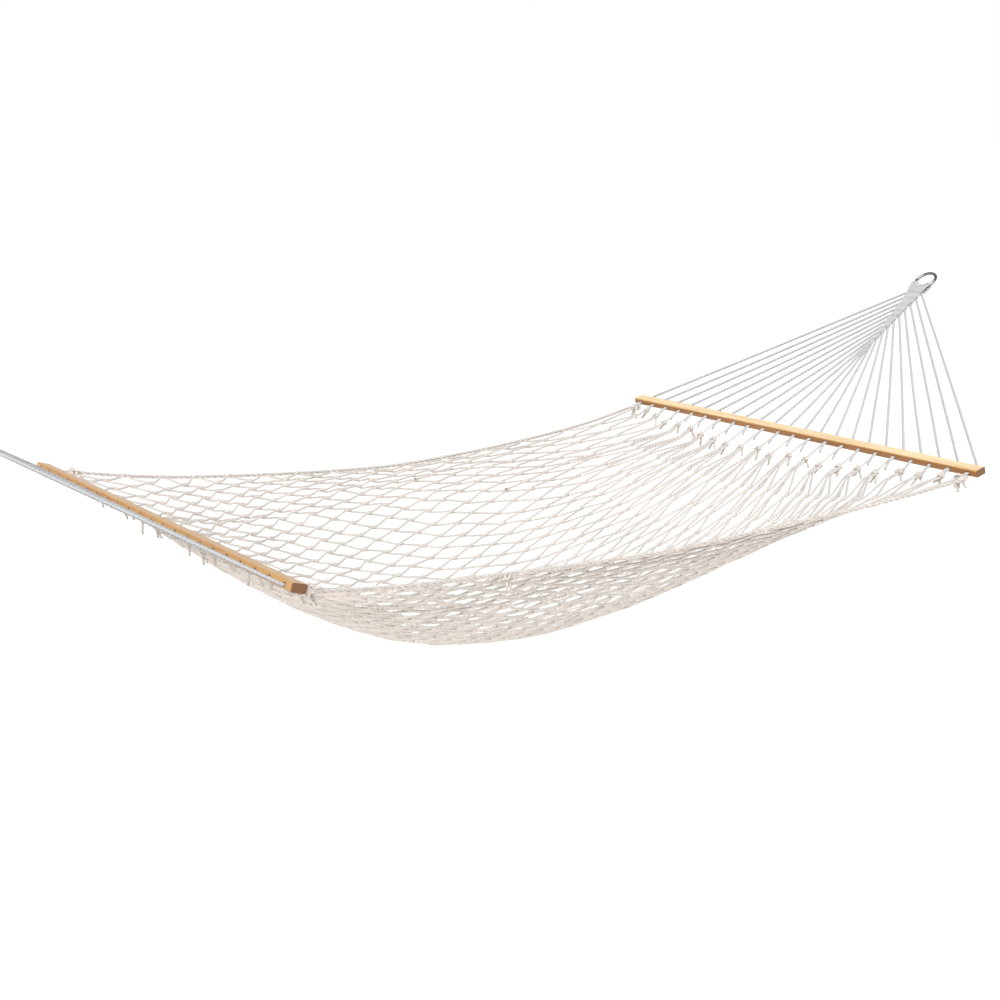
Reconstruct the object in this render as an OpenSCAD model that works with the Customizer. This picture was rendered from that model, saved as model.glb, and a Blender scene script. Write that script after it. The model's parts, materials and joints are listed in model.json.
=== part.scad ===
// Rope hammock: a knotless rope net between two drilled wooden spreader bars. Each bar is hung
// by eleven doubled cords that fan together in a woven clew and grip a round steel ring.
//
// X runs along the hammock, Y along the bars, Z up. The origin is the seat of the hook in the
// left ring, where the hammock is hung.

/* [Bed] */
// Distance between the middles of the two spreader bars
bar_span = 2020; // [1850:10:2200]
// Depth of the net's lowest point below the knots at its ends
middle_sag = 370; // [300:10:440]
// Depth of the side ropes below the knots, at mid-length
edge_sag = 60; // [40:5:100]
// How far each side of the net draws in at mid-length
waist = 80; // [50:5:150]
// Thickness of the net
net_thickness = 5; // [4:1:10]
// Diameter of the rope along each side of the net
side_rope_diameter = 11; // [8:1:14]

/* [Spreader bars] */
// Width of a bar, which is also the length of its holes
bar_width = 36; // [30:1:44]
// Height of a bar
bar_height = 20; // [18:1:28]
// Radius of a bar's long edges
bar_edge_radius = 4; // [1:0.5:6]
// How far a bar rolls towards the pull of its cords, in degrees
bar_roll = 15; // [5:1:25]
// Number of holes in a bar
hole_count = 22; // [22:2:22]
// Distance between neighbouring holes
hole_pitch = 64; // [56:1:70]
// Wood between the last hole and the end of a bar
end_margin = 28; // [20:1:40]
// Radius of a hole
hole_radius = 5; // [4.5:0.5:7]

/* [Harness] */
// Diameter of the harness cords
cord_diameter = 7; // [6:0.5:8]
// Distance from the harness's pivot at a bar to the middle of its ring
harness_reach = 670; // [600:10:750]
// Slope of the left harness, in degrees
left_slope = 30; // [20:1:45]
// Slope of the right harness, in degrees
right_slope = 38; // [20:1:45]
// Width of the woven clew where it meets the ring
clew_width = 56; // [50:1:70]
// Distance between the weft rows of the clew
weft_pitch = 25; // [22:1:28]

/* [Rings] */
// Outer diameter of a ring
ring_outer = 76; // [70:1:90]
// Diameter of a ring's wire
ring_wire = 9.5; // [8:0.5:11]

/* [Ties and knots] */
// Distance of the net's end knots from the middle of a bar, along the bed
knot_inset = 68; // [60:1:80]
// Distance of the net's end knots below the middle of a bar
knot_drop = 34; // [20:1:45]
// Radius of a knot where a cord is tied to the net
knot_radius = 9; // [8:0.5:10]
// Radius of the large knots at the four corners
corner_knot_radius = 17; // [14:0.5:20]

/* [Hidden] */

WOOD = "#D29A55";
NET_ROPE = "#EFE8DA";
HARNESS_CORD = "#DCDEE0";
STEEL = "#B9BDC2";

LEFT = -1;
RIGHT = 1;
CLEARANCE = 0.5;            // air between a moving piece and its neighbour
PIVOT_OFFSET = 5;           // from a bar's outer face to the line where its cords bend
pair_count = hole_count / 2;
bar_length = (hole_count - 1) * hole_pitch + 2 * end_margin;
cord_radius = cord_diameter / 2;

// The harness plane: u runs from the pivot line at the bar to the ring, v along the bar.
pivot_reach = bar_width / 2 + PIVOT_OFFSET;
pivot = pivot_reach * [cos(bar_roll), 0, sin(bar_roll)];
clew_thickness = 11;
loop_outer = ring_wire / 2 + cord_diameter;
ring_middle_radius = (ring_outer - ring_wire) / 2;
clew_end = harness_reach - ring_middle_radius - loop_outer - clew_thickness / 2 - CLEARANCE;
clew_tip_width = 11;
clew_length = (pair_count - 0.5) * weft_pitch;
first_exit = 14;            // from the clew's end to the outermost cords' exits
loop_arc = 132;             // part of the ring that the cords grip, in degrees
loop_gap = 0.8;             // between neighbouring loops, in degrees

// The bed: s runs from -1 at the left knots to 1 at the right knots, w from -1 near to 1 far.
net_half_length = bar_span / 2 - knot_inset;
net_half_width = (hole_count - 1) * hole_pitch / 2;
sag_skew = 0.13;            // moves the deepest point of the net towards the left bar
length_steps = 28;
width_steps = 12;
side_rope_steps = 60;
side_rope_sides = 8;
side_rope_gap = 10;         // from the net's edge to the middle of the side rope

function fullness(s, power) = 1 - pow(abs(s), power);
function half_width_at(s) = net_half_width - waist * fullness(s, 2.15);
function edge_z(s) = -knot_drop - edge_sag * fullness(s, 1.45);
function middle_z(s) = -knot_drop - middle_sag * fullness(s + sag_skew * fullness(s, 2), 2.05);
function net_point(s, w) = [
    s * net_half_length,
    w * half_width_at(s),
    middle_z(s) + (edge_z(s) - middle_z(s)) * pow(abs(w), 2.45)
];

function side_rope_point(s, edge) = [
    s * net_half_length,
    edge * (half_width_at(s) + side_rope_gap),
    edge_z(s)
];

function hole_y(n) = (n - (hole_count - 1) / 2) * hole_pitch;
function slope_of(side) = side == LEFT ? left_slope : right_slope;

hook_reach = harness_reach + ring_outer / 2 - ring_wire;
hook_seat = [
    -bar_span / 2 - pivot[0] - hook_reach * cos(left_slope),
    0,
    pivot[2] + hook_reach * sin(left_slope)
];

// ---- places ----

module in_row_frame() translate(-hook_seat) children();

// Outwards is +X at either bar.
module at_bar(side)
    in_row_frame() mirror([side == LEFT ? 1 : 0, 0, 0]) translate([bar_span / 2, 0, 0]) children();

module rolled_with_bar() rotate([0, -bar_roll, 0]) children();

module in_harness_plane(side)
    at_bar(side) translate(pivot) rotate([0, -slope_of(side), 0]) children();

// ---- shapes ----

module along_line(from, to) {
    along = to - from;
    translate(from)
        rotate([0, acos(along[2] / norm(along)), atan2(along[1], along[0])])
            children();
}

module rod(from, to, radius)
    along_line(from, to) cylinder(r = radius, h = norm(to - from), $fn = 24);

module round_ended_rod(from, to, radius) {
    length = norm(to - from);
    along_line(from, to) rotate_extrude($fn = 24) intersection() {
        translate([0, -radius]) square([radius, length + 2 * radius]);
        union() {
            square([radius, length]);
            circle(r = radius, $fn = 24);
            translate([0, length]) circle(r = radius, $fn = 24);
        }
    }
}

module rounded_section(width, height, radius) {
    square([width - 2 * radius, height], center = true);
    square([width, height - 2 * radius], center = true);
    for (x = [-1, 1], y = [-1, 1])
        translate([x * (width / 2 - radius), y * (height / 2 - radius)])
            circle(r = radius, $fn = 32);
}

// A closed skin between rows of points. Each end is closed in strips between the first half of
// its row and the second half.
module lofted(rows) {
    across = len(rows[0]);
    last = len(rows) - 1;
    points = [for (row = rows) for (p = row) p];
    sides = [for (i = [0 : last - 1], j = [0 : across - 1])
        let (k = (j + 1) % across)
        [i * across + j, i * across + k, (i + 1) * across + k, (i + 1) * across + j]];
    strips = [for (j = [0 : across / 2 - 2]) [j, j + 1, across - 2 - j, across - 1 - j]];
    first_end = [for (q = strips) [q[3], q[2], q[1], q[0]]];
    last_end = [for (q = strips) [for (k = q) last * across + k]];
    quads = concat(sides, first_end, last_end);
    triangles = [for (q = quads) each [[q[0], q[1], q[2]], [q[0], q[2], q[3]]]];
    polyhedron(points = points, faces = triangles, convexity = 6);
}

function unit(v) = v / norm(v);

function ring_of_points(centre, along, radius, sides) =
    let (side_way = unit(cross(along, [0, 0, 1])), up_way = unit(cross(side_way, along)))
    [for (j = [0 : sides - 1])
        let (turn = -360 * j / sides)
        centre + radius * (cos(turn) * side_way + sin(turn) * up_way)];

// ---- rings ----

module ring(side)
    color(STEEL) in_harness_plane(side) translate([harness_reach, 0, 0])
        rotate_extrude($fn = 96) translate([ring_middle_radius, 0])
            circle(r = ring_wire / 2, $fn = 32);

// One loop of each doubled cord, side by side round the wire.
module ring_loops(side) {
    step = loop_arc / pair_count;
    color(HARNESS_CORD) in_harness_plane(side) translate([harness_reach, 0, 0])
        for (n = [0 : pair_count - 1])
            rotate([0, 0, 180 - loop_arc / 2 + n * step + loop_gap / 2])
                rotate_extrude(angle = step - loop_gap, $fn = 96)
                    translate([ring_middle_radius, 0]) difference() {
                        circle(r = loop_outer, $fn = 32);
                        circle(r = ring_wire / 2 + 0.05, $fn = 32);
                    }
}

// ---- harness ----

function clew_half_width(u) =
    (clew_width + (clew_tip_width - clew_width) * (clew_end - u) / clew_length) / 2;

// The woven strip, from the ring to the last weft row.
module clew(side)
    color(HARNESS_CORD) in_harness_plane(side) {
        linear_extrude(height = clew_thickness, center = true)
            polygon([
                [clew_end, clew_half_width(clew_end)],
                [clew_end - clew_length, clew_tip_width / 2],
                [clew_end - clew_length, -clew_tip_width / 2],
                [clew_end, -clew_half_width(clew_end)]
            ]);
        translate([clew_end, 0, 0]) rotate([90, 0, 0])
            cylinder(r = clew_thickness / 2, h = clew_width, center = true, $fn = 32);
        for (n = [0 : pair_count - 1])
            translate([clew_end - first_exit - n * weft_pitch, 0, 0]) rotate([90, 0, 0])
                cylinder(r = clew_thickness / 2 + 1.2, center = true, $fn = 32,
                    h = 2 * clew_half_width(clew_end - first_exit - n * weft_pitch));
    }

// Both legs of doubled cord n, 1 outermost, from the clew's edges to the pivot at the bar.
module cord(side, n) {
    exit_u = clew_end - first_exit - (n - 1) * weft_pitch;
    exit_v = clew_half_width(exit_u) - cord_radius / 2;
    hole_v = hole_y(hole_count - n);
    color(HARNESS_CORD) in_harness_plane(side)
        for (edge = [-1, 1])
            round_ended_rod([exit_u, edge * exit_v, 0], [0, edge * hole_v, 0], cord_radius);
}

// ---- spreader bars ----

module bar(side)
    color(WOOD) at_bar(side) rolled_with_bar() difference() {
        rotate([90, 0, 0]) linear_extrude(height = bar_length, center = true)
            rounded_section(bar_width, bar_height, bar_edge_radius);
        for (n = [0 : hole_count - 1])
            translate([0, hole_y(n), 0]) rotate([0, 90, 0])
                cylinder(r = hole_radius, h = bar_width + 2, center = true, $fn = 32);
    }

// Each cord's end: one strand through the hole, then two from there down to the knot.
module bar_ties(side) {
    knot = [-knot_inset, 0, -knot_drop];
    hole_way = [cos(bar_roll), 0, sin(bar_roll)];
    outer = (bar_width / 2 - CLEARANCE) * hole_way;
    inner = -(bar_width / 2 + 1) * hole_way;
    start = inner - (cord_radius + CLEARANCE) * hole_way;
    color(HARNESS_CORD) at_bar(side)
        for (n = [0 : hole_count - 1]) {
            corner = n == 0 || n == hole_count - 1;
            reach = (corner ? corner_knot_radius : knot_radius) + cord_radius + CLEARANCE;
            stop = knot + reach * unit(start - knot);
            translate([0, hole_y(n), 0]) {
                rod(inner, outer, cord_radius);
                for (strand = [-1, 1])
                    translate([0, strand * (cord_radius + 0.1), 0])
                        round_ended_rod(start, stop, cord_radius);
            }
        }
}

// ---- bed ----

// The knots between the cords' ends and the net's end loops, with their short tails.
module net_knots(side)
    color(HARNESS_CORD) at_bar(side)
        for (n = [1 : hole_count - 2])
            translate([-knot_inset, hole_y(n), -knot_drop]) {
                sphere(r = knot_radius, $fn = 32);
                rod([0, 0, 0], [-4, 0, -34], cord_radius);
            }

module corner_knot(side, edge)
    color(NET_ROPE) at_bar(side)
        translate([-knot_inset, edge * net_half_width, -knot_drop]) {
            sphere(r = corner_knot_radius, $fn = 48);
            for (tail = [-1 : 1])
                rod([0, 0, 0], [-6 + 7 * tail, 5 * edge * abs(tail), -40 + 6 * abs(tail)], 4);
        }

module net() {
    half = [0, 0, net_thickness / 2];
    rows = [for (i = [0 : length_steps])
        let (s = 2 * i / length_steps - 1)
        concat(
            [for (j = [0 : width_steps]) net_point(s, 2 * j / width_steps - 1) + half],
            [for (j = [width_steps : -1 : 0]) net_point(s, 2 * j / width_steps - 1) - half]
        )];
    color(NET_ROPE) in_row_frame() lofted(rows);
}

module side_rope(edge) {
    step = 2 / side_rope_steps;
    rows = [for (i = [0 : side_rope_steps])
        let (
            s = i * step - 1,
            along = side_rope_point(min(s + step, 1), edge) - side_rope_point(max(s - step, -1), edge)
        )
        ring_of_points(side_rope_point(s, edge), unit(along), side_rope_diameter / 2, side_rope_sides)];
    color(NET_ROPE) in_row_frame() lofted(rows);
}

// ---- nodes ----

ring(LEFT);  // ring_left
ring(RIGHT);  // ring_right
ring_loops(LEFT);  // ring_loops_left
ring_loops(RIGHT);  // ring_loops_right
clew(LEFT);  // clew_left
clew(RIGHT);  // clew_right
for (n = [1 : pair_count]) {
    number = str(n < 10 ? "0" : "", n);
    cord(LEFT, n);
    cord(RIGHT, n);
}
bar(LEFT);  // bar_left
bar(RIGHT);  // bar_right
bar_ties(LEFT);  // bar_ties_left
bar_ties(RIGHT);  // bar_ties_right
net_knots(LEFT);  // net_knots_left
net_knots(RIGHT);  // net_knots_right
net();
side_rope(-1);  // side_rope_near
side_rope(1);  // side_rope_far
corner_knot(LEFT, -1);  // corner_knot_left_near
corner_knot(LEFT, 1);  // corner_knot_left_far
corner_knot(RIGHT, -1);  // corner_knot_right_near
corner_knot(RIGHT, 1);  // corner_knot_right_far
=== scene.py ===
"""The looks of the rope hammock: laid rope, net, knots, woven clews, wood, steel, floor, light and camera.

Every length is in metres in the row frame. A rope is a tube of three lobes that turn round its line.
"""

import math
import random

import bpy
import numpy as np
from mathutils import Matrix, Vector
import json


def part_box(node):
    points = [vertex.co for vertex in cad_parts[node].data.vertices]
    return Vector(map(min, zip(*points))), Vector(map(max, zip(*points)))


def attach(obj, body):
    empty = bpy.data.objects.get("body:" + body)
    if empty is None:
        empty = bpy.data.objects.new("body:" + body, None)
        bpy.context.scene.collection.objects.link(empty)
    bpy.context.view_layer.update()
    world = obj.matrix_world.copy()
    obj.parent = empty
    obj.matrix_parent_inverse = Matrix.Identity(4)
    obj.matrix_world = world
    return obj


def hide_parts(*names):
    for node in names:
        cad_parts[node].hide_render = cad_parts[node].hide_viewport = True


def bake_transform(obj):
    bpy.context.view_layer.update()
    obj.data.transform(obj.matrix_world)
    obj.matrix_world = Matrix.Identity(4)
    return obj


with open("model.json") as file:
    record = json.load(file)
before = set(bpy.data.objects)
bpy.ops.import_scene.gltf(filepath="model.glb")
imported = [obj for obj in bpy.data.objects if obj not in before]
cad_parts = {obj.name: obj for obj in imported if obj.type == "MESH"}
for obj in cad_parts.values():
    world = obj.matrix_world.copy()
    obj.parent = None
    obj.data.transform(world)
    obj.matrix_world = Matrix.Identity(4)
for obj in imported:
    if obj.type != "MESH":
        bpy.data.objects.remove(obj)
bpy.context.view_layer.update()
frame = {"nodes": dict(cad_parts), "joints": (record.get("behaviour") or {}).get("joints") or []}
dice = random.Random(22)

# ---- places from the frame ----

JOINT_AT = {joint["name"]: np.array(joint["pos_m"], float) for joint in frame["joints"]}
SIDES = ("left", "right")
OUTWARD = {"left": -1.0, "right": 1.0}
EDGES = {"near": -1.0, "far": 1.0}
UP = np.array([0.0, 0.0, 1.0])
ALONG_BAR = np.array([0.0, 1.0, 0.0])


def middle_of(node):
    low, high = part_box(node)
    return np.array((low + high) / 2)


def size_of(node):
    low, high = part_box(node)
    return np.array(high - low)


BAR_AT = {side: middle_of(f"bar_{side}") for side in SIDES}
NET_LOW, NET_HIGH = (np.array(corner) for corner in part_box("net"))
ROPE_RADIUS = 0.0034
CORD_RADIUS = 0.0035

# ---- camera ----

CAMERA_AT = (-0.858, -3.487, 0.537)
CAMERA_TURN = 35.142     # degrees from +Y towards +X
CAMERA_DIP = 12.808      # degrees below level
CAMERA_ROLL = 0.429
CAMERA_LENS = 60.14      # mm on a 36 mm sensor


def make_camera():
    turn, dip, roll = (math.radians(a) for a in (CAMERA_TURN, CAMERA_DIP, CAMERA_ROLL))
    forward = Vector((math.sin(turn) * math.cos(dip), math.cos(turn) * math.cos(dip), -math.sin(dip)))
    level = forward.cross(Vector(UP)).normalized()
    upright = level.cross(forward)
    right = level * math.cos(roll) + upright * math.sin(roll)
    data = bpy.data.cameras.new("camera")
    data.lens = CAMERA_LENS
    data.sensor_width = 36
    data.clip_start, data.clip_end = 0.05, 500
    camera = bpy.data.objects.new("camera", data)
    bpy.context.scene.collection.objects.link(camera)
    turned = Matrix((right, right.cross(forward), -forward)).transposed()
    camera.matrix_world = Matrix.Translation(CAMERA_AT) @ turned.to_4x4()
    bpy.context.scene.camera = camera


make_camera()

# ---- the bed's shape, as in the CAD source ----

NET_MIDDLE_X = (JOINT_AT["bar_left_tilt"][0] + JOINT_AT["bar_right_tilt"][0]) / 2
NET_HALF_LENGTH = (JOINT_AT["bar_right_tilt"][0] - JOINT_AT["bar_left_tilt"][0]) / 2
KNOT_Z = JOINT_AT["bar_left_tilt"][2]
NET_HALF_WIDTH = NET_HIGH[1]
HALF_THICKNESS = 0.0025
MIDDLE_SAG = KNOT_Z - HALF_THICKNESS - NET_LOW[2]
EDGE_SAG = 0.060
WAIST = 0.080            # how far each edge draws in at the middle
SAG_SKEW = 0.13          # how far the lowest place lies towards the left
SIDE_ROPE_GAP = 0.010    # from the net's edge to the side rope's middle
SHIFT_REACH = 0.34       # share of the half length in which the shift by a bar fades out
CORNER_LIFT = 0.017      # how far a corner is raised, and pulled to its bar
CORNER_PULL = 0.030
FAR_LEFT_PULL = 0.2      # share of CORNER_PULL at the far left corner
TIE_DROP = (0.032, 0.020)          # how much lower the middle knots hang, left and right
TIE_REACH = (0.012, 0.045)         # how much farther from the bar they hang, left and right


def fullness(s, power):
    return 1 - np.abs(s) ** power


def half_width_at(s):
    return NET_HALF_WIDTH - WAIST * fullness(s, 2.15)


def edge_z(s):
    return KNOT_Z - EDGE_SAG * fullness(s, 1.45)


def middle_z(s):
    return KNOT_Z - MIDDLE_SAG * fullness(s + SAG_SKEW * fullness(s, 2), 2.05)


def net_point(s, w):
    """The point of the bed at s from -1, left, to 1, right, and w from -1, near, to 1, far."""
    s, w = np.broadcast_arrays(np.clip(s, -1, 1), w)
    z = middle_z(s) + (edge_z(s) - middle_z(s)) * np.abs(w) ** 2.45
    return np.stack([NET_MIDDLE_X + s * NET_HALF_LENGTH, w * half_width_at(s), z], axis=-1)


def knot_shift(s, w):
    """How the knots by the bars, and the net by them, leave the CAD's even shape.

    The corners are pulled up to the bars. The ties between them are longer and hang lower.
    """
    s, w = np.broadcast_arrays(np.asarray(s, float), w)
    share = np.clip(1 - (1 - np.abs(s)) / SHIFT_REACH, 0, 1) ** 2
    bulge = np.sin(math.pi * (1 - w) / 2)
    corner = np.abs(w) ** 3
    own_pull = CORNER_PULL * np.where((s < 0) & (w > 0), FAR_LEFT_PULL, 1.0)
    pull = own_pull * corner - np.where(s < 0, *TIE_REACH) * bulge
    lift = CORNER_LIFT * corner - np.where(s < 0, *TIE_DROP) * bulge
    return np.stack([np.sign(s) * pull * share, 0 * s, lift * share], axis=-1)


def side_rope_point(s, edge):
    s = np.asarray(s, float)
    y = edge * (half_width_at(s) + SIDE_ROPE_GAP)
    return np.stack([NET_MIDDLE_X + s * NET_HALF_LENGTH, y, edge_z(s)], axis=-1) + knot_shift(s, edge)


def unit(v):
    v = np.asarray(v, float)
    return v / np.linalg.norm(v, axis=-1, keepdims=True)


# ---- rope meshes ----

ROPE_SIDES = 6
LAY_LENGTH = 0.030       # one turn of the strands
LOBE = 0.13              # how far the lobes stand out of the rope's round, in radii
DOME = 0.45              # how far the last ring stands past the rope's end, in radii
DOME_RADIUS = 0.62
TIP = 0.4                # how far a rope's tip stands past its last ring, in the last ring's radii
RING_STEP = 0.0045       # between the rings of a straight rope
RING_TURN = 0.50         # radians that a bend may turn between rings


def smooth_line(points, step=RING_STEP, turn=RING_TURN):
    """A smooth line through points, with rings about step apart and closer where it bends."""
    p = np.asarray(points, float)
    gaps = np.sqrt(np.maximum(np.linalg.norm(np.diff(p, axis=0), axis=1), 1e-6))
    slopes = np.diff(p, axis=0) / gaps[:, None]
    inner = (slopes[:-1] * gaps[1:, None] + slopes[1:] * gaps[:-1, None]) / (gaps[:-1] + gaps[1:])[:, None]
    tangents = np.concatenate([slopes[:1], inner, slopes[-1:]])
    t = np.linspace(0, 1, 9)[:-1]
    h = gaps[:, None, None]
    a, b = p[:-1, None], p[1:, None]
    ta, tb = tangents[:-1, None] * h, tangents[1:, None] * h
    t = t[None, :, None]
    curve = (a * (2 * t**3 - 3 * t**2 + 1) + ta * (t**3 - 2 * t**2 + t)
             + b * (3 * t**2 - 2 * t**3) + tb * (t**3 - t**2))
    curve = np.concatenate([curve.reshape(-1, 3), p[-1:]])
    legs = np.diff(curve, axis=0)
    lengths = np.maximum(np.linalg.norm(legs, axis=1), 1e-9)
    ways = legs / lengths[:, None]
    turned = np.arccos(np.clip((ways[:-1] * ways[1:]).sum(1), -1, 1))
    turned = np.concatenate([[0], (turned[:-1] + turned[1:]) / 2, [0]])[: len(lengths)]
    measure = np.concatenate([[0], np.cumsum(lengths / step + turned / turn)])
    rings = max(3, int(math.ceil(measure[-1])) + 1)
    at = np.linspace(0, measure[-1], rings)
    return np.stack([np.interp(at, measure, curve[:, k]) for k in range(3)], axis=1)


def turning_frames(line):
    """Two directions across a line at each point, carried along it with no twist of their own."""
    ways = unit(np.gradient(line, axis=0))
    start = np.cross(ways[0], UP)
    if np.linalg.norm(start) < 0.2:
        start = np.cross(ways[0], ALONG_BAR)
    nx, ny, nz = unit(start)
    sides = []
    for wx, wy, wz in ways.tolist():
        along = nx * wx + ny * wy + nz * wz
        nx, ny, nz = nx - along * wx, ny - along * wy, nz - along * wz
        length = math.sqrt(nx * nx + ny * ny + nz * nz)
        nx, ny, nz = nx / length, ny / length, nz / length
        sides.append((nx, ny, nz))
    sides = np.array(sides)
    return ways, sides, np.cross(ways, sides)


class Ropes:
    """Ropes that become one mesh."""

    def __init__(self, name):
        self.name = name
        self.points, self.faces, self.uvs, self.tones = [], [], [], []
        self.count = 0

    def add(self, control, radius, step=RING_STEP, lay=LAY_LENGTH, smooth=True, turn=RING_TURN):
        """One rope along control points. radius is a number, or a function of the share along the rope."""
        line = smooth_line(control, step, turn) if smooth else np.asarray(control, float)
        ways, across, over = turning_frames(line)
        lengths = np.concatenate([[0], np.cumsum(np.linalg.norm(np.diff(line, axis=0), axis=1))])
        radii = radius(lengths / lengths[-1]) if callable(radius) else np.full(len(line), float(radius))
        phase = dice.random() * 2 * math.pi
        # Each end closes in a short dome.
        before = line[0] - ways[0] * radii[0] * DOME
        after = line[-1] + ways[-1] * radii[-1] * DOME
        line = np.concatenate([[before], line, [after]])
        radii = np.concatenate([[radii[0] * DOME_RADIUS], radii, [radii[-1] * DOME_RADIUS]])
        across, over = (np.concatenate([d[:1], d, d[-1:]]) for d in (across, over))
        lengths = np.concatenate([lengths[:1], lengths, lengths[-1:]])
        around = np.arange(ROPE_SIDES) * 2 * math.pi / ROPE_SIDES
        angle = around[None, :] + phase + (2 * math.pi / lay) * lengths[:, None]
        reach = radii[:, None] * (1 - LOBE / 2 + LOBE * np.cos(3 * around))[None, :]
        rings = (line[:, None] + (reach * np.cos(angle))[..., None] * across[:, None]
                 + (reach * np.sin(angle))[..., None] * over[:, None])
        tips = np.array([line[0] - ways[0] * radii[0] * TIP, line[-1] + ways[-1] * radii[-1] * TIP])
        n, base = len(line), self.count
        i, k = np.meshgrid(np.arange(n - 1), np.arange(ROPE_SIDES), indexing="ij")
        k2 = (k + 1) % ROPE_SIDES
        here, there = i * ROPE_SIDES, (i + 1) * ROPE_SIDES
        quads = np.stack([here + k, here + k2, there + k2, there + k], axis=-1).reshape(-1, 4) + base
        u0, u1 = k / ROPE_SIDES, (k + 1) / ROPE_SIDES
        v0, v1 = lengths[i], lengths[i + 1]
        uv = np.stack([u0, v0, u1, v0, u1, v1, u0, v1], axis=-1).reshape(-1, 4, 2)
        ring = np.arange(ROPE_SIDES)
        next_ring = (ring + 1) % ROPE_SIDES
        first_tip = np.full(ROPE_SIDES, n * ROPE_SIDES)
        first = np.stack([first_tip, next_ring, ring], axis=-1) + base
        last_ring = (n - 1) * ROPE_SIDES
        last = np.stack([first_tip + 1, last_ring + ring, last_ring + next_ring], axis=-1) + base
        cap_uv = np.zeros((2 * ROPE_SIDES, 3, 2))
        self.points.append(np.concatenate([rings.reshape(-1, 3), tips]))
        self.faces.append((quads, np.concatenate([first, last])))
        self.uvs.append((uv, cap_uv))
        self.tones.append(np.full(n * ROPE_SIDES + 2, dice.random()))
        self.count += n * ROPE_SIDES + 2

    def build(self, material):
        points = np.concatenate(self.points)
        quads = np.concatenate([f[0] for f in self.faces])
        caps = np.concatenate([f[1] for f in self.faces])
        mesh = bpy.data.meshes.new(self.name)
        mesh.vertices.add(len(points))
        mesh.vertices.foreach_set("co", points.astype(np.float32).ravel())
        corners = np.concatenate([quads.ravel(), caps.ravel()])
        mesh.loops.add(len(corners))
        mesh.loops.foreach_set("vertex_index", corners.astype(np.int32))
        totals = np.concatenate([np.full(len(quads), 4), np.full(len(caps), 3)])
        starts = np.concatenate([[0], np.cumsum(totals)[:-1]])
        mesh.polygons.add(len(totals))
        mesh.polygons.foreach_set("loop_start", starts.astype(np.int32))
        mesh.polygons.foreach_set("loop_total", totals.astype(np.int32))
        mesh.polygons.foreach_set("use_smooth", np.ones(len(totals), bool))
        layer = mesh.uv_layers.new(name="rope")
        uv = np.concatenate([np.concatenate([u[0] for u in self.uvs]).reshape(-1, 2),
                             np.concatenate([u[1] for u in self.uvs]).reshape(-1, 2)])
        layer.data.foreach_set("uv", uv.astype(np.float32).ravel())
        tone = mesh.attributes.new("tone", "FLOAT", "POINT")
        tone.data.foreach_set("value", np.concatenate(self.tones).astype(np.float32))
        mesh.update()
        mesh.validate()
        mesh.materials.append(material)
        piece = bpy.data.objects.new(self.name, mesh)
        bpy.context.scene.collection.objects.link(piece)
        return piece


# ---- materials ----


class Shader:
    """A material's node tree, with short calls for the nodes that it needs."""

    def __init__(self, name):
        self.material = bpy.data.materials.new(name)
        self.material.use_nodes = True
        self.tree = self.material.node_tree
        self.surface = self.tree.nodes["Principled BSDF"]

    def node(self, kind, inputs=(), **settings):
        made = self.tree.nodes.new("ShaderNode" + kind)
        for key, value in settings.items():
            setattr(made, key, value)
        for key, value in dict(inputs).items():
            if isinstance(value, bpy.types.NodeSocket):
                self.tree.links.new(value, made.inputs[key])
            else:
                made.inputs[key].default_value = value
        return made

    def math(self, operation, a, b=0.0):
        return self.node("Math", {0: a, 1: b}, operation=operation).outputs[0]

    def ramp(self, value, low, high):
        """value from low to high becomes 0 to 1."""
        return self.node("MapRange", {"Value": value, "From Min": low, "From Max": high}).outputs["Result"]

    def mix(self, share, a, b, blend="MIX"):
        made = self.tree.nodes.new("ShaderNodeMix")
        made.data_type = "RGBA"
        made.blend_type = blend
        for socket, value in ((made.inputs[0], share), (made.inputs[6], a), (made.inputs[7], b)):
            if isinstance(value, bpy.types.NodeSocket):
                self.tree.links.new(value, socket)
            else:
                socket.default_value = (*value, 1.0) if isinstance(value, tuple) else value
        return made.outputs[2]

    def noise(self, where, scale, detail=2.0, roughness=0.5):
        inputs = {"Vector": where, "Scale": scale, "Detail": detail, "Roughness": roughness}
        return self.node("TexNoise", inputs).outputs["Fac"]

    def stretched(self, where, scale):
        return self.node("Mapping", {"Vector": where, "Scale": scale}).outputs["Vector"]

    def bump(self, height, strength, distance, under=None):
        inputs = {"Height": height, "Strength": strength, "Distance": distance}
        if under is not None:
            inputs["Normal"] = under
        return self.node("Bump", inputs).outputs["Normal"]

    def finish(self, color, roughness, normal, **values):
        self.tree.links.new(color, self.surface.inputs["Base Color"])
        if isinstance(roughness, bpy.types.NodeSocket):
            self.tree.links.new(roughness, self.surface.inputs["Roughness"])
        else:
            self.surface.inputs["Roughness"].default_value = roughness
        self.tree.links.new(normal, self.surface.inputs["Normal"])
        for key, value in values.items():
            self.surface.inputs[key.replace("_", " ")].default_value = value
        return self.material


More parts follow.
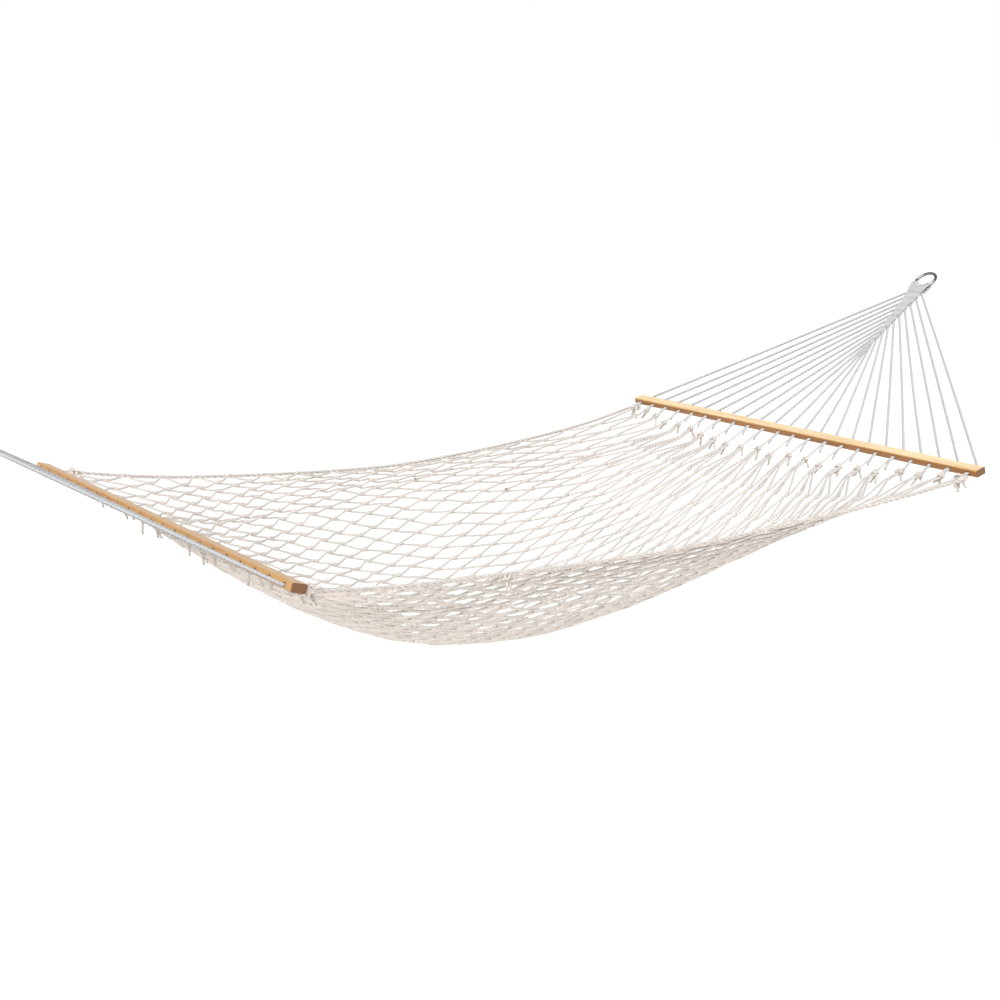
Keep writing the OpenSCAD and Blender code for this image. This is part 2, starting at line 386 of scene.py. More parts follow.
def rope_material(name, light, shade, under):
    """Laid rope: painted shade in the grooves between the lobes, darker fibres and blotches, and painted
    light and shade by the way a face turns: light on upward faces and under on downward faces, so under is
    painted light where it is paler than light and painted shade where it is darker.
    """
    s = Shader(name)
    coordinates = s.node("TexCoord").outputs
    parts = s.node("SeparateXYZ", {0: coordinates["UV"]}).outputs
    lobes = s.math("COSINE", s.math("MULTIPLY", parts["X"], 6 * math.pi))
    groove = s.ramp(lobes, 0.3, -1.0)
    fibres = s.noise(s.stretched(coordinates["UV"], (30.0, 700.0, 1.0)), 1.0, 3.0, 0.6)
    blotches = s.noise(coordinates["Object"], 26.0, 3.0, 0.6)
    tone = s.node("Attribute", attribute_name="tone").outputs["Fac"]
    normal_z_for_painted_light = s.node("SeparateXYZ", {0: s.node("NewGeometry").outputs["Normal"]}).outputs["Z"]
    # Painted light and shade by the way a face turns: the colour goes from light on upward faces to under
    # on downward faces.
    color = s.mix(s.ramp(normal_z_for_painted_light, 0.25, -0.75), light, under)
    # Painted shade: the grooves between the lobes are darkened towards shade.
    color = s.mix(s.math("MULTIPLY", groove, 0.50), color, shade)
    color = s.mix(s.ramp(fibres, 0.52, 0.90), color, shade)
    color = s.mix(s.math("MULTIPLY", s.ramp(blotches, 0.50, 0.80), 0.35), color, shade)
    color = s.mix(s.math("MULTIPLY", tone, 0.22), color, under)
    height = s.math("ADD", s.math("MULTIPLY", groove, -1.0), s.math("MULTIPLY", fibres, 0.6))
    normal = s.bump(height, 0.55, 0.0006)
    return s.finish(color, 0.88, normal, Sheen_Weight=0.25, Sheen_Roughness=0.5, Specular_IOR_Level=0.25)


def wood_material(name, top_painted_light):
    """Oiled pine: long honey grain along the bar and dark end grain, with painted shade on the faces that
    look down and, less, sideways. The second argument is the colour painted on the upward faces as painted
    light.
    """
    s = Shader(name)
    where = s.node("TexCoord").outputs["Object"]
    bend = s.noise(s.stretched(where, (9.0, 1.1, 9.0)), 1.0, 2.0)
    long_grain = s.stretched(where, (150.0, 3.2, 150.0))
    sway = s.math("MULTIPLY", bend, 7.0)
    sideways = s.node("CombineXYZ", {0: sway, 1: 0.0, 2: sway}).outputs[0]
    swayed_grain = s.node("VectorMath", {0: long_grain, 1: sideways}, operation="ADD").outputs[0]
    lines = s.noise(swayed_grain, 1.0, 3.0, 0.62)
    pores = s.noise(s.stretched(where, (900.0, 18.0, 900.0)), 1.0, 2.0, 0.5)
    broad = s.noise(s.stretched(where, (12.0, 2.0, 12.0)), 1.0, 2.0)
    color = s.mix(s.ramp(broad, 0.35, 0.68), (0.52, 0.285, 0.09), (0.42, 0.21, 0.06))
    normal_parts = s.node("SeparateXYZ", {0: s.node("NewGeometry").outputs["Normal"]}).outputs
    painted_shade_below = s.ramp(normal_parts["Z"], 0.10, -0.20)
    painted_light_above = s.ramp(normal_parts["Z"], 0.55, 0.93)
    # Painted shade: downward faces, and sideways faces a third as much, are darkened towards dark brown.
    color = s.mix(s.math("MULTIPLY", painted_shade_below, 0.90), color, (0.25, 0.09, 0.018))
    # Painted light: upward faces are mixed towards the painted top colour.
    color = s.mix(s.math("MULTIPLY", painted_light_above, 0.85), color, top_painted_light)
    color = s.mix(s.math("MULTIPLY", s.ramp(lines, 0.42, 0.66), 0.50), color, (0.46, 0.21, 0.055))
    color = s.mix(s.math("MULTIPLY", s.ramp(pores, 0.60, 0.80), 0.30), color, (0.28, 0.11, 0.03))
    end_grain = s.ramp(s.math("ABSOLUTE", normal_parts["Y"]), 0.75, 0.98)
    color = s.mix(s.math("MULTIPLY", end_grain, 0.95), color, (0.15, 0.055, 0.013))
    height = s.math("ADD", s.math("MULTIPLY", lines, -0.6), s.math("MULTIPLY", pores, -0.4))
    normal = s.bump(height, 0.35, 0.0008)
    roughness = s.math("ADD", s.math("MULTIPLY", lines, 0.18), 0.30)
    return s.finish(color, roughness, normal, Coat_Weight=0.25, Coat_Roughness=0.22)


def steel_material(name):
    """Polished steel with fine rub marks."""
    s = Shader(name)
    where = s.node("TexCoord").outputs["Object"]
    marks = s.noise(s.stretched(where, (260.0, 900.0, 260.0)), 1.0, 3.0, 0.6)
    smudge = s.noise(where, 90.0, 2.0)
    color = s.mix(s.ramp(smudge, 0.40, 0.72), (0.30, 0.305, 0.31), (0.17, 0.175, 0.18))
    roughness = s.math("ADD", s.math("MULTIPLY", smudge, 0.16), 0.10)
    return s.finish(color, roughness, s.bump(marks, 0.18, 0.0002), Metallic=1.0)


def floor_material(name):
    s = Shader(name)
    where = s.node("TexCoord").outputs["Object"]
    mottle = s.noise(where, 3.0, 2.0)
    color = s.mix(s.ramp(mottle, 0.3, 0.7), (0.96, 0.96, 0.96), (0.95, 0.95, 0.95))
    return s.finish(color, 0.95, s.bump(mottle, 0.02, 0.001), Specular_IOR_Level=0.1)


# Colours are light, shade and under. Under is painted on downward faces: painted light on the net's rope,
# and painted shade on the knots' rope and the harness cord, so the knots' rope is a shaded copy of the
# net's rope. Shade is painted shade in the grooves and also the colour of the darker fibres and blotches.
NET_ROPE = rope_material("net_rope", (0.66, 0.64, 0.62), (0.36, 0.29, 0.235), (0.97, 0.87, 0.79))
KNOT_ROPE = rope_material("knot_rope_painted_shade_under", (0.70, 0.67, 0.63), (0.38, 0.31, 0.25), (0.54, 0.455, 0.38))
HARNESS_CORD = rope_material("harness_cord", (0.56, 0.57, 0.578), (0.34, 0.34, 0.345), (0.46, 0.46, 0.46))
# Painted light on the tops: a pale painted highlight on the right bar, and a dimmer top on the left bar as
# painted shade.
WOOD = {"left": wood_material("pine_left_top_painted_shade", (0.56, 0.32, 0.10)),
        "right": wood_material("pine_right_top_painted_light", (0.95, 0.77, 0.48))}
STEEL = steel_material("polished_steel")

for side in SIDES:
    for node, material, slot in (("bar", WOOD[side], "wood"), ("ring", STEEL, "steel")):
        piece = frame["nodes"][f"{node}_{side}"]
        piece.data.materials.clear()
        piece.data.materials.append(material)

# ---- the net ----

HOLES = 22
SINGLE_TIES = 4          # ties by each end of a bar that hold one column of the net; the others hold two


def columns_at(hole):
    return 1 if min(hole, HOLES - 1 - hole) < SINGLE_TIES else 2


COLUMNS = sum(columns_at(hole) for hole in range(HOLES))
LAST_HALF = 2 * (COLUMNS - 1)
LINES = 28               # spaces between the lines of clasps, an even number
ROW_GROWTH = 1.00        # how much longer the rows grow from the left to the right
END_ROWS = (1.75, 1.45, 1.20)      # how much longer the rows by a bar are than the rest
EDGE_COLUMNS = (0.38, 0.42, 0.48, 0.58, 0.72, 0.88)    # how much narrower the columns by an edge are
PAIR_SPREAD = 0.005      # of the half width, from a tie's middle to each of its two columns
LAST_W = 0.985           # w of the outermost columns at a bar
SHAKE_S = 0.0030         # how unevenly the clasps lie: along the bed, across it, over it and in their lean
SHAKE_W = 0.0048
SHAKE_OVER = 0.0014
SHAKE_LEAN = 0.10
NET_BANDS = 5            # pieces that the net's rows are shared between
CLASP = 0.0064           # from a clasp's middle to the end of each bight in it
CLASP_LEAN = -0.10       # how far a clasp turns from the bed's length towards the near edge, in radians
CLASP_LINE = (           # the left rope's bight: along the clasp in clasps, left and up in rope radii
    (-1.55, -1.05, 0.55),
    (-0.80, -0.74, 0.64),
    (0.30, -0.72, 0.62),
    (0.85, -0.50, 0.42),
    (1.00, 0.0, 0.0),
    (0.85, 0.50, -0.42),
    (0.30, 0.72, -0.62),
    (-0.80, 0.74, -0.64),
    (-1.55, 1.05, -0.55),
)
TIED_LINE = (            # a bight in a tie's knot, whose legs run side by side before they part
    (-5.00, -1.45, 0.20),
    (-3.20, -1.05, 0.15),
    (-1.00, -1.02, 0.10),
    (0.35, -0.62, 0.0),
    (0.60, 0.0, 0.0),
    (0.35, 0.62, 0.0),
    (-1.00, 1.02, -0.10),
    (-3.20, 1.05, -0.15),
    (-5.00, 1.45, -0.20),
)
RIM_WRAP_RADIUS = 0.0036
RIM_WRAP_LENGTH = 1.3 * ROPE_RADIUS
RIM_WRAP = (             # round the side rope: along in wrap lengths, outwards and up in wrap radii
    (-3.4, -1.90, -0.90),
    (-1.6, -0.95, 0.45),
    (-0.8, 0.10, 1.02),
    (0.0, 1.02, 0.0),
    (0.8, 0.10, -1.02),
    (1.6, -0.95, -0.75),
    (3.4, -1.90, -1.50),
)
TABLE_S = np.linspace(-1, 1, 401)      # places at which lengths along and across the bed are measured
TABLE_W = np.linspace(-1, 1, 43)


def along_lengths(points):
    return np.concatenate([[0], np.cumsum(np.linalg.norm(np.diff(points, axis=0), axis=1))])


def line_positions():
    """s of every line of clasps on each of TABLE_W. Rows are longer by the bars and towards the right."""
    weights = 1 + ROW_GROWTH * np.linspace(0, 1, LINES) ** 2
    weights[: len(END_ROWS)] *= END_ROWS
    weights[-len(END_ROWS):] *= END_ROWS[::-1]
    shares = np.concatenate([[0], np.cumsum(weights)]) / weights.sum()
    found = []
    for w in TABLE_W:
        lengths = along_lengths(net_point(TABLE_S, w))
        found.append(np.interp(shares * lengths[-1], lengths, TABLE_S))
    return np.array(found)


def middle_columns():
    """w of every half column across the bed's middle. Columns are narrower by the edges."""
    weights = np.ones(COLUMNS - 1)
    weights[: len(EDGE_COLUMNS)] = EDGE_COLUMNS
    weights[-len(EDGE_COLUMNS):] = EDGE_COLUMNS[::-1]
    weights = np.repeat(weights, 2)
    shares = np.concatenate([[0], np.cumsum(weights)]) / weights.sum()
    fine = np.linspace(-1, 1, 401)
    lengths = along_lengths(net_point(0.0, fine))
    return np.interp(shares * lengths[-1], lengths, fine)


def bar_columns():
    """w of every half column at a bar, where one or two columns meet at each hole."""
    found = []
    for hole in range(HOLES):
        w = min(max(2 * hole / (HOLES - 1) - 1, -LAST_W), LAST_W)
        found += [w] if columns_at(hole) == 1 else [w - PAIR_SPREAD, w + PAIR_SPREAD]
    return np.interp(np.arange(LAST_HALF + 1) / 2, np.arange(COLUMNS), found)


LINE_S = line_positions()
MIDDLE_W = middle_columns()
BAR_W = bar_columns()


def clasp_places():
    """(line, half column) to a clasp's middle and its directions: along, left of that, over the bed."""
    places = {}
    for line in range(LINES + 1):
        for half in range(line % 2, LAST_HALF + 1, 2):
            free = 0 < line < LINES and 0 < half < LAST_HALF
            shake = 1.0 if free else 0.0
            even_s = np.interp(BAR_W[half], TABLE_W, LINE_S[:, line])
            w = BAR_W[half] + (MIDDLE_W[half] - BAR_W[half]) * fullness(even_s, 2.6)
            s = np.interp(w, TABLE_W, LINE_S[:, line]) + shake * dice.gauss(0, SHAKE_S)
            w += shake * dice.gauss(0, SHAKE_W) * (1 - 0.6 * abs(w))
            along = unit(net_point(s + 0.01, w) - net_point(s - 0.01, w))
            over = unit(np.cross(along, net_point(s, w + 0.01) - net_point(s, w - 0.01)))
            left = np.cross(over, along)
            lean = shake * dice.gauss(CLASP_LEAN, SHAKE_LEAN)
            middle = net_point(s, w) + knot_shift(s, w) + over * shake * dice.gauss(0, SHAKE_OVER)
            places[line, half] = (middle, along * math.cos(lean) + left * math.sin(lean),
                                  left * math.cos(lean) - along * math.sin(lean), over)
    return places


PLACES = clasp_places()


def bight(shape, place, from_left):
    """A row's rope from near to far through a clasp or a knot. The right bight is the left one turned."""
    middle, along, left, over = place
    steps = shape if from_left else [(-x, -y, z) for x, y, z in reversed(shape)]
    return [middle + along * x * CLASP + (left * y + over * z) * ROPE_RADIUS for x, y, z in steps]


def rim_frame(s, edge):
    """The side rope's middle at s and its directions: along, outwards and over."""
    ahead = side_rope_point(min(s + 0.01, 1), edge) - side_rope_point(max(s - 0.01, -1), edge)
    along = unit(ahead)
    outward = unit(np.array([0.0, edge, 0.0]) - along * along[1] * edge)
    return side_rope_point(s, edge), along, outward, np.cross(along, outward) * edge


def rim_turn(line, edge):
    """The net's rope round the side rope, from the left to the right."""
    s = float(np.interp(edge, TABLE_W, LINE_S[:, line]))
    middle, along, outward, over = rim_frame(s, edge)
    lean = dice.gauss(0, 0.25)
    return [middle + along * (x + lean * z) * RIM_WRAP_LENGTH + (outward * y + over * z) * RIM_WRAP_RADIUS
            for x, y, z in RIM_WRAP]


def row_line(row):
    """The rope between two lines of clasps, from the near edge to the far edge."""
    line = []
    for half in range(LAST_HALF + 1):
        from_left = (half - row) % 2 == 1
        at_line = row + 1 if from_left else row
        on_rim = half in (0, LAST_HALF)
        by_bar = at_line in (0, LINES)
        if on_rim and by_bar:
            line.append(PLACES[at_line, half][0])
        elif on_rim:
            turn = rim_turn(at_line, -1.0 if half == 0 else 1.0)
            part = turn[:4] if from_left else turn[3:]
            arriving = half == LAST_HALF
            line += part if arriving == from_left else part[::-1]
        elif by_bar:
            line += bight(TIED_LINE, PLACES[at_line, half], from_left)
        else:
            line += bight(CLASP_LINE, PLACES[at_line, half], from_left)
    return line


def build_net():
    for band in range(NET_BANDS):
        ropes = Ropes(f"net_rows_{band + 1}")
        for row in range(band * LINES // NET_BANDS, (band + 1) * LINES // NET_BANDS):
            ropes.add(row_line(row), ROPE_RADIUS)
        piece = ropes.build(NET_ROPE)
        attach(piece, "bed")
    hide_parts("net")


build_net()

# ---- side ropes ----

RIM_STRANDS = 3
RIM_STRAND_RADIUS = 0.0027
RIM_HELIX_RADIUS = 0.0026
RIM_PITCH = 0.058


def build_side_rope(name, edge):
    middle = side_rope_point(np.linspace(-1, 1, 460), edge)
    turns = 2 * math.pi * along_lengths(middle) / RIM_PITCH
    ways, across, over = turning_frames(middle)
    ropes = Ropes(f"side_rope_{name}_laid")
    for strand in range(RIM_STRANDS):
        angle = (turns + 2 * math.pi * strand / RIM_STRANDS)[:, None]
        line = middle + RIM_HELIX_RADIUS * (np.cos(angle) * across + np.sin(angle) * over)
        ropes.add(line, RIM_STRAND_RADIUS, smooth=False)
    piece = ropes.build(NET_ROPE)
    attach(piece, "bed")
    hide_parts(f"side_rope_{name}")


for edge_name, edge_way in EDGES.items():
    build_side_rope(edge_name, edge_way)

# ---- ties between the bars and the net ----

HOLE_Y = [NET_HALF_WIDTH * (2 * n / (HOLES - 1) - 1) for n in range(HOLES)]
PIVOT_REACH = {side: np.linalg.norm(JOINT_AT[f"harness_{side}_swing"] - BAR_AT[side]) for side in SIDES}
HOLE_WAY = {side: (JOINT_AT[f"harness_{side}_swing"] - BAR_AT[side]) / PIVOT_REACH[side] for side in SIDES}
HALF_BAR = 0.018
CORD_ASIDE = 0.0012      # how far a cord lies aside of its hole's middle, to leave room for the tie
TIE_ASIDE = 0.0030
STUB_LENGTHS = (0.030, 0.040)      # of the cord ends that stand out of the bar towards the net
CORNER_STUB = 0.009
KNOT_TAILS = (0.014, 0.027)
KNOT_TURNS = 2.2
KNOT_STEPS = 8           # points in a turn


def at_hole(side, y, outwards, up=0.0, along=0.0):
    """A point by the hole at y: outwards from the bar's middle in the hole, then up and along the bar."""
    return BAR_AT[side] + HOLE_WAY[side] * outwards + np.array([0.0, y + along, up])


def wrapped_knot(start, way, tail_way, tail):
    """A tail, then turns round the two legs of a tie."""
    way = unit(way)
    side_way = unit(np.cross(way, tail_way))
    down_way = np.cross(side_way, way)
    points = [start + unit(tail_way) * (0.008 + tail * share) + side_way * 0.006 * share**2
              for share in (1.0, 0.66, 0.33, 0.0)]
    steps = int(KNOT_TURNS * KNOT_STEPS)
    for i in range(steps + 1):
        angle = 2 * math.pi * KNOT_TURNS * i / steps
        out = -down_way * math.cos(angle) + side_way * math.sin(angle)
        reach = ROPE_RADIUS * (1.85 + 0.25 * math.sin(3.1 * angle))
        points.append(start + out * reach + way * ROPE_RADIUS * 3.4 * (i / steps - 0.5))
    return points


def cord_end(side, y, stub, droop, lean):
    """A harness cord through its hole, with an end that droops on the net's side."""
    line = [at_hole(side, y, reach, -CORD_ASIDE) for reach in (PIVOT_REACH[side], 0.020)]
    line.append(at_hole(side, y, -HALF_BAR - 0.004, -CORD_ASIDE, -CORD_ASIDE))
    for length, fall, turn in ((0.4, 0.15, 0.3), (0.75, 0.50, 0.7), (1.0, 1.0, 1.0)):
        low = -CORD_ASIDE - fall * droop * stub
        line.append(at_hole(side, y, -HALF_BAR - length * stub, low, -CORD_ASIDE + lean * turn))
    return line


def build_ties(side):
    """The cord ends, the ties from the bar's holes to the net's columns, and the ties' knots."""
    out = OUTWARD[side]
    line = 0 if side == "left" else LINES
    ties = Ropes(f"tie_ropes_{side}")
    knots = Ropes(f"tie_knots_{side}")
    ends = Ropes(f"cord_ends_{side}")
    column = 0
    for n, y in enumerate(HOLE_Y):
        nearness = 1 - n / (HOLES - 1)
        in_corner = n in (0, HOLES - 1)
        stub = CORNER_STUB if in_corner else dice.uniform(*STUB_LENGTHS)
        droop = dice.uniform(0.20, 0.45) + 0.4 * nearness
        lean = dice.gauss(0, 0.003)
        ends.add(cord_end(side, y, stub, droop, lean), CORD_RADIUS)
        knot = np.mean([PLACES[line, 2 * (column + k)][0] for k in range(columns_at(n))], axis=0)
        column += columns_at(n)
        hole = at_hole(side, y, -HALF_BAR + 0.004, 0.0, TIE_ASIDE)
        bow = UP * dice.uniform(-0.004, 0.003) + ALONG_BAR * dice.gauss(0.002, 0.0020)
        near_hole = hole * 0.65 + knot * 0.35 + bow
        near_knot = hole * 0.2 + knot * 0.8 + bow * 0.4
        ties.add([hole, near_hole, near_knot, knot], ROPE_RADIUS)
        if in_corner:
            continue
        to_bar = unit(hole - knot)
        slip = dice.uniform(-0.004, 0.016)
        for _ in range(2 if dice.random() < 0.25 else 1):
            tail_way = np.array([dice.gauss(-0.10 * out, 0.30), dice.gauss(-0.1, 0.35), -1.0])
            tail = dice.uniform(*KNOT_TAILS)
            knots.add(wrapped_knot(knot + to_bar * slip, to_bar, tail_way, tail), ROPE_RADIUS * 0.90)
    piece = ends.build(HARNESS_CORD)
    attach(piece, f"bar_{side}")
    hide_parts(f"bar_ties_{side}")
    piece = knots.build(KNOT_ROPE)
    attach(piece, "bed")
    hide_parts(f"net_knots_{side}")
    piece = ties.build(NET_ROPE)
    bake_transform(piece)


# ---- corner knots ----

CORE_TURNS = 2.5         # times that a corner knot's core rises and falls in each turn
CORE_REACH = (0.0088, 0.0056)      # mean, and how far it swings
CORE_RISE = 0.0072
CORNER_TAILS = 4


def build_corner_knot(side, edge_name):
    """A tangled core, two bows and a tassel of ends."""
    edge, out = EDGES[edge_name], OUTWARD[side]
    place = PLACES[0 if side == "left" else LINES, 0 if edge < 0 else LAST_HALF]
    middle = place[0] + np.array([0.0, 0.003 * edge, 0.0])
    ropes = Ropes(f"corner_knot_{side}_{edge_name}_tied")
    tilt = dice.uniform(0, math.pi)
    axis_a = unit(np.array([math.cos(tilt), math.sin(tilt) * 0.5, 0.6]))
    axis_b = unit(np.cross(axis_a, UP))
    axis_c = np.cross(axis_a, axis_b)
    angle = np.linspace(0, 2 * math.pi, 61)
    around = CORE_REACH[0] + CORE_REACH[1] * np.cos(CORE_TURNS * 2 * angle)
    core = (middle + (around * np.cos(2 * angle))[:, None] * axis_a
            + (around * np.sin(2 * angle))[:, None] * axis_b
            + (CORE_RISE * np.sin(CORE_TURNS * 2 * angle))[:, None] * axis_c)
    ropes.add(core, ROPE_RADIUS, step=0.003)
    for bow in (-1, 1):
        way = unit(np.array([0.9 * bow * out, 0.35 * edge, dice.uniform(-0.5, 0.3)]))
        cross = unit(np.cross(way, np.array([0.2, 0.5, 1.0])))
        reach = dice.uniform(0.020, 0.027)
        ropes.add([middle, middle + way * reach * 0.6 + cross * 0.007, middle + way * reach,
                   middle + way * reach * 0.7 - cross * 0.008, middle - way * 0.002], ROPE_RADIUS)
    for _ in range(CORNER_TAILS):
        way = unit(np.array([dice.gauss(-0.25 * out, 0.35), 0.22 * edge + dice.gauss(0, 0.25), -1.0]))
        reach = dice.uniform(0.026, 0.034)
        bend = np.array([dice.gauss(0, 0.004), dice.gauss(0, 0.004), 0.0])
        ropes.add([middle, middle + way * reach * 0.6 + bend, middle + way * reach * 1.15], ROPE_RADIUS)
    piece = ropes.build(NET_ROPE)
    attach(piece, "bed")
    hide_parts(f"corner_knot_{side}_{edge_name}")


for side in SIDES:
    build_ties(side)
    for edge_name in EDGES:
        build_corner_knot(side, edge_name)

# ---- where the net's rope was joined ----

JOININGS = ((0.33, 0.80), (0.08, 0.95), (-0.35, -0.30))     # s and w
TAIL_S = -0.49           # where the near rim has a hanging tail


def overhand(middle, way, tails):
    """A small overhand knot with its tails. Each tail is a way and a length."""
    side_way = unit(np.cross(way, UP))
    over = np.cross(side_way, way)
    angle = np.linspace(0, 2 * math.pi, 19)
    size = ROPE_RADIUS * 1.5
    knot = (middle + (size * np.sin(angle))[:, None] * side_way
            + (size * np.sin(2 * angle))[:, None] * over * 0.8 + (size * np.cos(angle))[:, None] * way)
    first, last = ([middle + tail_way * length * share for share in (1.0, 0.5)]
                   for tail_way, length in tails)
    return [*first, *knot, *last[::-1]]


def nearest_clasp(s, w):
    target = net_point(s, w) + knot_shift(s, w)
    return min(PLACES.values(), key=lambda place: np.linalg.norm(place[0] - target))


def build_joinings():
    ropes = Ropes("rope_joinings")
    for s, w in JOININGS:
        middle, chain, left, over = nearest_clasp(s, w)
        tails = [(unit(over * 0.6 - left + chain * dice.gauss(0, 0.4)), 0.016), (unit(over - chain), 0.014)]
        ropes.add(overhand(middle + over * ROPE_RADIUS * 1.6, chain, tails), ROPE_RADIUS * 0.85)
    middle, along, outward, over = rim_frame(TAIL_S, -1.0)
    hang = unit(outward * 0.3 - UP)
    tails = [(unit(hang + along * 0.2), 0.038), (unit(hang - along * 0.3), 0.026)]
    ropes.add(overhand(middle + outward * 0.008 - UP * 0.006, along, tails), ROPE_RADIUS)
    piece = ropes.build(KNOT_ROPE)
    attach(piece, "bed")


build_joinings()

# ---- harness: fanned cords, woven clew and loops on the ring ----

PAIRS = HOLES // 2
MIDDLE_DEPTH = (PAIRS - 1) // 2    # loops between the clew's edge and its middle loop
WEFT_PITCH = 0.0262
FIRST_WEFT = 0.002       # from the clew's end to its first weft row
FAN_RADIUS = 0.0041
WARP_PITCH = 0.0051
WARP_RADIUS = 0.0027
LOOP_RADIUS = CORD_RADIUS * 0.94
SHED = 0.0042            # how far the warps stand over and under the weft
WEFT_NUDGE = 0.0026      # how far the wefts of the two edges lie apart
RING_MIDDLE = {side: middle_of(f"ring_{side}") for side in SIDES}
RING_WIRE = 0.00475
RING_REACH = size_of("ring_left")[1] / 2 - RING_WIRE
LOOP_STEP = math.radians(12.0)     # round the ring, from loop to loop
LOOP_SWEEP = np.radians(np.linspace(118, -118, 11))    # round the ring's wire
LOOP_HALF = 6            # points of LOOP_SWEEP in each half of a loop, which share the middle one
CLEW_BEND = (-0.012, 0.014)        # from the clew's end, two reaches along the clew at which points are computed and not used


def warp_radius(share):
    """Full round the ring's wire, squeezed in the weave, and full again where the cord leaves it."""
    full_share = np.clip(np.maximum(1 - share * 9, share * 9 - 8), 0, 1)
    return WARP_RADIUS + (LOOP_RADIUS - WARP_RADIUS) * full_share


def warp_leg(at, clew_end, v, face, row, edge, exit_way):
    """A loop's leg over and under the weft rows, and then out of the clew as the weft of its own row."""
    leg = [at(clew_end + 0.006, v * 1.10, face * (SHED + 0.0025)), at(clew_end - 0.004, v, face * SHED)]
    for m in range(1, row):
        u = clew_end - FIRST_WEFT - (m - 1) * WEFT_PITCH
        sign = face * (1 if m % 2 else -1)
        leg += [at(u, v, sign * SHED), at(u - WEFT_PITCH / 2, v, 0.0)]
    u = clew_end - FIRST_WEFT - (row - 1) * WEFT_PITCH
    half_width = (PAIRS - (row - 1)) / 2 * WARP_PITCH
    nudge = WEFT_NUDGE * edge
    return leg + [
        at(u + 0.008, v * 0.97, face * (1 if row % 2 else -1) * SHED * 0.5),
        at(u + 0.0025 + nudge, v * 0.55, 0.0004),
        at(u + nudge * 0.8, 0.0, 0.0),
        at(u - 0.002 + nudge * 0.4, exit_way * half_width * 0.6, 0.0),
        at(u - 0.006, exit_way * (half_width + 0.001), 0.0),
    ]


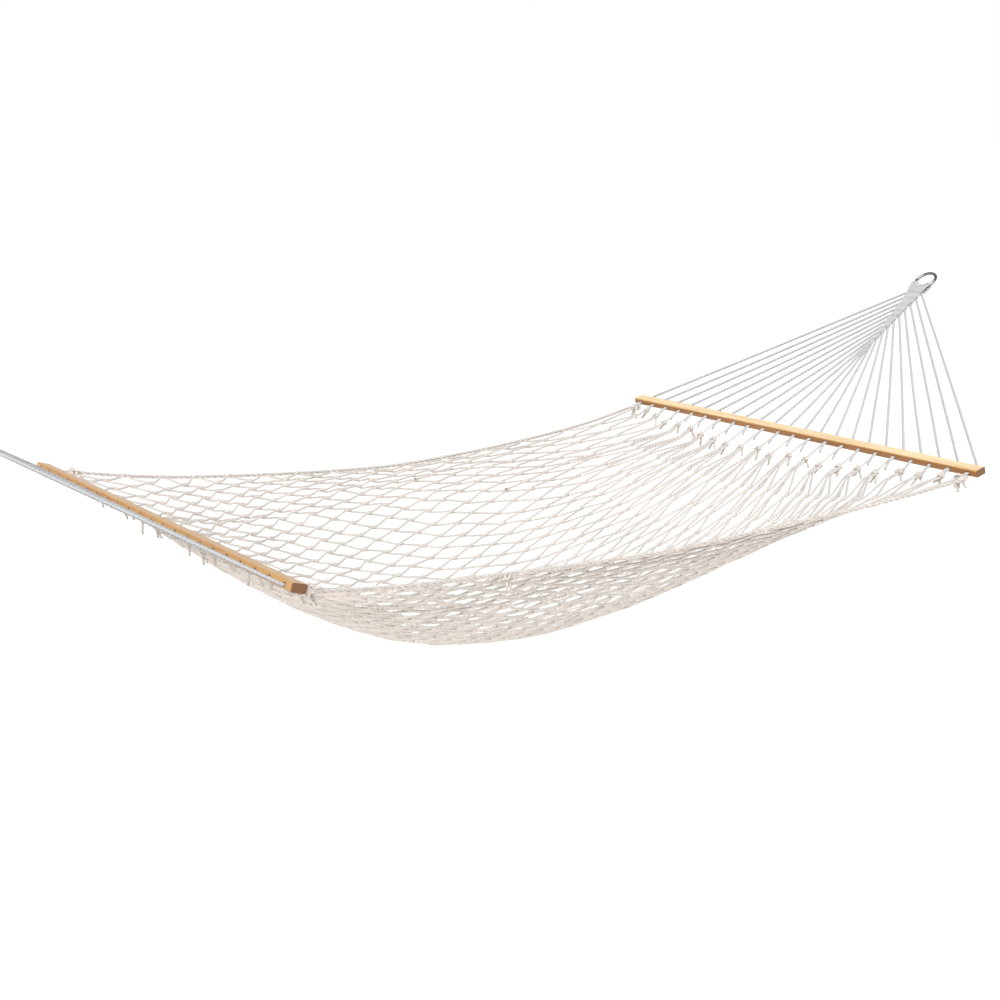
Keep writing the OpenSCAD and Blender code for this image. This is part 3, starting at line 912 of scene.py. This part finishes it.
def build_harness(side):
    """Each cord loops round the ring's wire. Its two legs go down the clew and fan out to their holes."""
    pivot = JOINT_AT[f"harness_{side}_swing"]
    end = JOINT_AT[f"ring_{side}_tilt"]
    clew_end = np.linalg.norm(end - pivot)
    u_way = (end - pivot) / clew_end
    n_way = np.cross(u_way, ALONG_BAR)
    n_way = n_way if n_way[2] > 0 else -n_way
    ring_u = (RING_MIDDLE[side] - pivot) @ u_way

    def at(u, v, up=0.0):
        return pivot + u_way * u + ALONG_BAR * v + n_way * up

    weave = Ropes(f"clew_weave_{side}")
    cords = Ropes(f"fan_cords_{side}")
    for loop in range(PAIRS):
        side_step = loop - (PAIRS - 1) / 2
        edge = -1.0 if side_step < 0 else 1.0
        depth = min(loop, PAIRS - 1 - loop)
        turn = side_step * LOOP_STEP
        wire = at(ring_u - RING_REACH * math.cos(turn), RING_REACH * math.sin(turn))
        inward = u_way * math.cos(turn) - ALONG_BAR * math.sin(turn)
        round_wire = [wire + (RING_WIRE + LOOP_RADIUS) * (math.sin(a) * n_way + math.cos(a) * inward)
                      for a in LOOP_SWEEP]
        for face, ring_part in ((1, round_wire[:LOOP_HALF][::-1]), (-1, round_wire[LOOP_HALF - 1:])):
            row = 2 * depth + (1 if face > 0 else 2)
            exit_way = -edge
            if depth == MIDDLE_DEPTH:
                row = PAIRS
                exit_way = face
            leg = warp_leg(at, clew_end, side_step * WARP_PITCH, face, row, edge, exit_way)
            weave.add([*ring_part, *leg], warp_radius, step=0.004)
            start = leg[-1]
            finish = at(0.0, exit_way * HOLE_Y[HOLES - row]) - UP * CORD_ASIDE
            bow = n_way * dice.uniform(-0.003, 0.001) + ALONG_BAR * dice.gauss(0, 0.0012)
            near_clew = start * 0.66 + finish * 0.34 + bow * 0.8
            near_bar = start * 0.33 + finish * 0.67 + bow
            cords.add([start, near_clew, near_bar, finish], FAN_RADIUS)
    piece = cords.build(HARNESS_CORD)
    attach(piece, f"harness_{side}")
    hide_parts(*[f"cord_{side}_{n:02d}" for n in range(1, PAIRS + 1)])
    piece = weave.build(HARNESS_CORD)
    bend_start, bend_end = (at(clew_end + reach, 0.0) for reach in CLEW_BEND)
    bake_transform(piece)
    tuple(bend_start)
    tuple(bend_end)
    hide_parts(f"clew_{side}", f"ring_loops_{side}")


for side in SIDES:
    build_harness(side)

# ---- stage ----

FLOOR_Z = -2.2
FLOOR_REACH = 220.0
SKY = 0.40               # the surround's strength overhead
SKY_HEIGHTS = (0.10, 0.40)         # heights on the unit sphere between which the surround dims to SKY
KEY_ENERGY = 3.35
KEY_FROM = (-0.55, -0.55, 0.90)
KEY_ANGLE = 60           # degrees across the light, for soft shadows


def build_stage():
    mesh = bpy.data.meshes.new("floor")
    corners = [(x * FLOOR_REACH, y * FLOOR_REACH, FLOOR_Z) for x, y in ((-1, -1), (1, -1), (1, 1), (-1, 1))]
    mesh.from_pydata(corners, [], [(0, 1, 2, 3)])
    floor = bpy.data.objects.new("floor", mesh)
    bpy.context.scene.collection.objects.link(floor)
    mesh.materials.append(floor_material("pale_floor"))


def build_lights():
    """A pale surround that is brightest at the level of the eye, and one broad soft light from above."""
    world = bpy.data.worlds.new("studio")
    world.use_nodes = True
    nodes, links = world.node_tree.nodes, world.node_tree.links
    background = nodes["Background"]
    background.inputs["Color"].default_value = (1.0, 1.0, 1.0, 1.0)
    height = nodes.new("ShaderNodeSeparateXYZ")
    strength = nodes.new("ShaderNodeMapRange")
    links.new(nodes.new("ShaderNodeTexCoord").outputs["Generated"], height.inputs[0])
    links.new(height.outputs["Z"], strength.inputs["Value"])
    low, high = SKY_HEIGHTS
    for socket, value in (("From Min", low), ("From Max", high), ("To Min", 1.0), ("To Max", SKY)):
        strength.inputs[socket].default_value = value
    links.new(strength.outputs["Result"], background.inputs["Strength"])
    bpy.context.scene.world = world
    data = bpy.data.lights.new("key", "SUN")
    data.energy = KEY_ENERGY
    data.angle = math.radians(KEY_ANGLE)
    key = bpy.data.objects.new("key", data)
    key.rotation_euler = Vector(KEY_FROM).to_track_quat("Z", "Y").to_euler()
    bpy.context.scene.collection.objects.link(key)


build_stage()
build_lights()
bpy.context.scene.view_settings.view_transform = "Standard"
